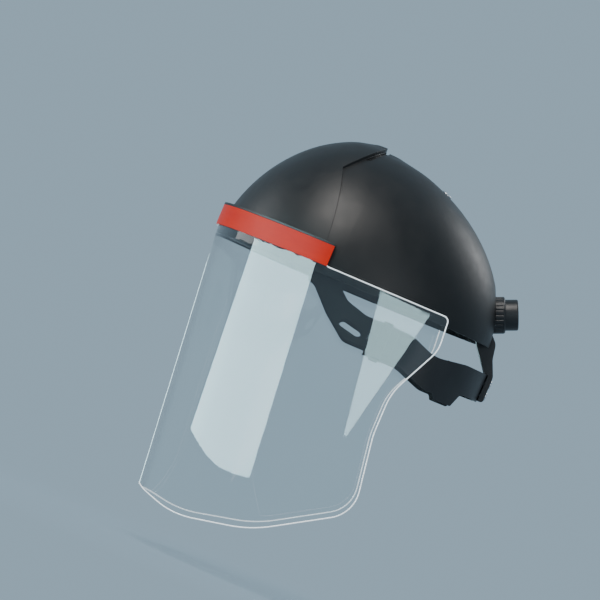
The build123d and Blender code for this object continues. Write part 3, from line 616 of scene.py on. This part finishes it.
LAMPS = [  # name, place, aim, size, power, colour
    ("key", (0.75, -0.5, 1.3), (0, 0, 0.02), (0.9, 0.9), 24.0, (1.0, 0.95, 0.9)),
    ("side", (1.3, 0.7, 0.35), (0, 0.02, 0), (0.7, 0.9), 3.5, (1, 1, 1)),
    ("rim", (-0.9, 0.9, 0.9), (0, 0, 0.02), (0.6, 0.6), 5.0, (1, 1, 1)),
    ("front", (-0.2, -1.4, 0.3), (0, 0, -0.05), (0.8, 0.8), 6.0, (1, 1, 1)),
]


def lamp(name, place, aim, size, power, colour):
    made = link(bpy.data.objects.new(name, bpy.data.lights.new(name, "AREA")))
    made.data.shape = "RECTANGLE"
    made.data.size, made.data.size_y = size
    made.data.energy = power
    made.data.color = colour
    made.location = place
    made.rotation_euler = (Vector(aim) - Vector(place)).to_track_quat("-Z", "Y").to_euler()
    made.visible_camera = False
    made.visible_transmission = False


def surroundings():
    """A plain backdrop, and a floor that fades out and shows only from above."""
    world = bpy.data.worlds.new("studio")
    bpy.context.scene.world = world
    world.use_nodes = True
    world.node_tree.nodes["Background"].inputs["Color"].default_value = (*BACKDROP, 1.0)
    world.node_tree.nodes["Background"].inputs["Strength"].default_value = 1.0
    bpy.ops.mesh.primitive_circle_add(vertices=64, radius=FLOOR_RADIUS, fill_type="NGON")
    floor = bpy.context.object
    floor.name = "floor"
    floor.location = (0, 0, CAD_BOX[0][2] - FLOOR_DROP)
    look = Finish("floor")
    away = look.node("ShaderNodeVectorMath", {0: look.place}, operation="LENGTH").outputs["Value"]
    fade = look.ramp(look.maths("DIVIDE", away, FLOOR_FADE), [(0.1, 0.22), (1.0, 0.0)])
    below = look.node("ShaderNodeNewGeometry").outputs["Backfacing"]
    darker = tuple(c * 0.98 for c in BACKDROP)
    look.put("Base Color", look.ramp(look.noise(3.0), [(0.3, darker), (0.7, BACKDROP)]))
    look.put("Roughness", 0.9)
    look.put("Specular IOR Level", 0.1)
    look.put("Alpha", look.maths("MULTIPLY", fade, look.maths("SUBTRACT", 1.0, below)))
    floor.data.materials.append(look.mat)


# ---------------------------------------------------------------- what the clear sheet mirrors
TUCK = radians(6.0)  # the sheet leans in towards the chin
BROW_CENTRE_Y = -0.0155
SHEET_TURN_Z = -0.006
SHEET_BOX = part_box("visor")
STRIP_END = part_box("clamp_strip")[1][1]
TALL_PATCH = [(-0.0765, -0.001), (-0.030, -0.001), (-0.0140, -0.157), (-0.066, -0.142)]
CARD_STEPS = 14
EDGE_RADIUS = 0.42 * MM
REAR_PATCH = [(0.0195, -0.001), (0.058, -0.003), (0.0370, -0.104), (0.0350, -0.104)]


def sheet_point(y, z):
    """The near side of the sheet's outer face at (y, z), and its outward normal."""
    half_width = SHEET_BOX[1][0]
    length = BROW_CENTRE_Y - SHEET_BOX[0][1]
    slide = max(0.0, SHEET_TURN_Z - z) * sin(TUCK) / cos(TUCK)
    forward = BROW_CENTRE_Y - (y - slide)
    if forward <= 0:
        return Vector((half_width, y, z)), Vector((1, 0, 0))
    share = min(0.999, forward / length)
    x = half_width * sqrt(1 - share**2)
    normal = Vector((x / half_width**2, -forward / length**2, 0))
    if slide > 0:
        normal.z = normal.y * sin(TUCK) / cos(TUCK)
    return Vector((x, y, z)), normal.normalized()


def clear_sheet_piece():
    """The clear sheet with its true curved normals, so that it mirrors without facets."""
    mesh = NODES["visor"].data.copy()
    normals = [None] * len(mesh.loops)
    for face in mesh.polygons:
        face.use_smooth = True
        for i in face.loop_indices:
            place = mesh.vertices[mesh.loops[i].vertex_index].co
            _, normal = sheet_point(place.y, place.z)
            if place.x < 0:
                normal.x = -normal.x
            facing = face.normal.dot(normal)
            curved = abs(facing) > 0.95
            normals[i] = normal * (1 if facing > 0 else -1) if curved else face.normal.copy()
    mesh.normals_split_custom_set(normals)
    add_piece("clear_sheet", mesh, "root", "visor_clear", ("visor",))


def glow(card, strength):
    """Makes a card shine in mirrored rays only."""
    look = Finish(card.name)
    look.put("Base Color", (0.0, 0.0, 0.0))
    look.put("Emission Color", (0.62, 0.93, 1.0))
    look.put("Emission Strength", strength)
    card.data.materials.append(look.mat)
    for sight in ("visible_camera", "visible_diffuse", "visible_transmission", "visible_shadow"):
        setattr(card, sight, False)


def outline_card(away, near_y, far_y, low_z, high_z, strength):
    """A card beyond the sheet's far side, mirrored in a thin line along its front outline."""
    around = [(near_y, low_z), (far_y, low_z), (far_y, high_z), (near_y, high_z)]
    mesh = bpy.data.meshes.new("outline_card")
    mesh.from_pydata([(-away, y, z) for y, z in around], [], [(0, 1, 2, 3)])
    glow(link(bpy.data.objects.new("outline_card", mesh)), strength)


def mirrored_card(name, patch, eye, away, strength, bow=0.0):
    """A glowing card, shaped so that the sheet mirrors it over that patch in the first view."""
    steps = CARD_STEPS
    points = []
    for i in range(steps + 1):
        for j in range(steps + 1):
            u, v = i / steps, j / steps
            top = [patch[0][k] * (1 - u) + patch[1][k] * u for k in (0, 1)]
            low = [patch[3][k] * (1 - u) + patch[2][k] * u for k in (0, 1)]
            y = top[0] * (1 - v) + low[0] * v
            z = top[1] * (1 - v) + low[1] * v - bow * sin(pi * u) * v
            place, normal = sheet_point(y, z)
            look = (place - eye).normalized()
            points.append(place + (look - 2 * look.dot(normal) * normal) * away)
    row = steps + 1
    firsts = [i * row + j for i in range(steps) for j in range(steps)]
    faces = [(first, first + row, first + row + 1, first + 1) for first in firsts]
    mesh = bpy.data.meshes.new(name)
    mesh.from_pydata([tuple(p) for p in points], [], faces)
    glow(link(bpy.data.objects.new(name, mesh)), strength)


def edge_in_the_open(place):
    """Whether the sheet's edge at that place isn't behind the strip."""
    above = place.z > 0.5 * MM and place.y < STRIP_END + 2 * MM
    under_strip = place.z > -0.5 * MM and place.y < STRIP_END
    return not above and not under_strip


def sheet_edge():
    """A bead along the sheet's cut edge, which glows with painted light."""
    paths = sharp_paths(NODES["visor"].data, radians(50), edge_in_the_open)
    edge = thread("visor_edge", paths, EDGE_RADIUS, "root", "visor_clear")
    # the bead gets the glowing edge finish: painted light
    edge.data.materials[0] = PAINTED_GLOW_EDGE.mat


def main():
    dress_cad()
    soft_parts()
    side_strap(1)
    side_strap(-1)
    clear_sheet_piece()
    eye = camera().location
    surroundings()
    mirrored_card("tall_card", TALL_PATCH, eye, away=1.6, strength=20.0, bow=8 * MM)
    mirrored_card("rear_card", REAR_PATCH, eye, away=2.6, strength=13.0)
    outline_card(away=2.0, near_y=-0.14, far_y=-0.42, low_z=-0.45, high_z=0.0, strength=4.0)
    for row in LAMPS:
        lamp(*row)
    sheet_edge()


main()
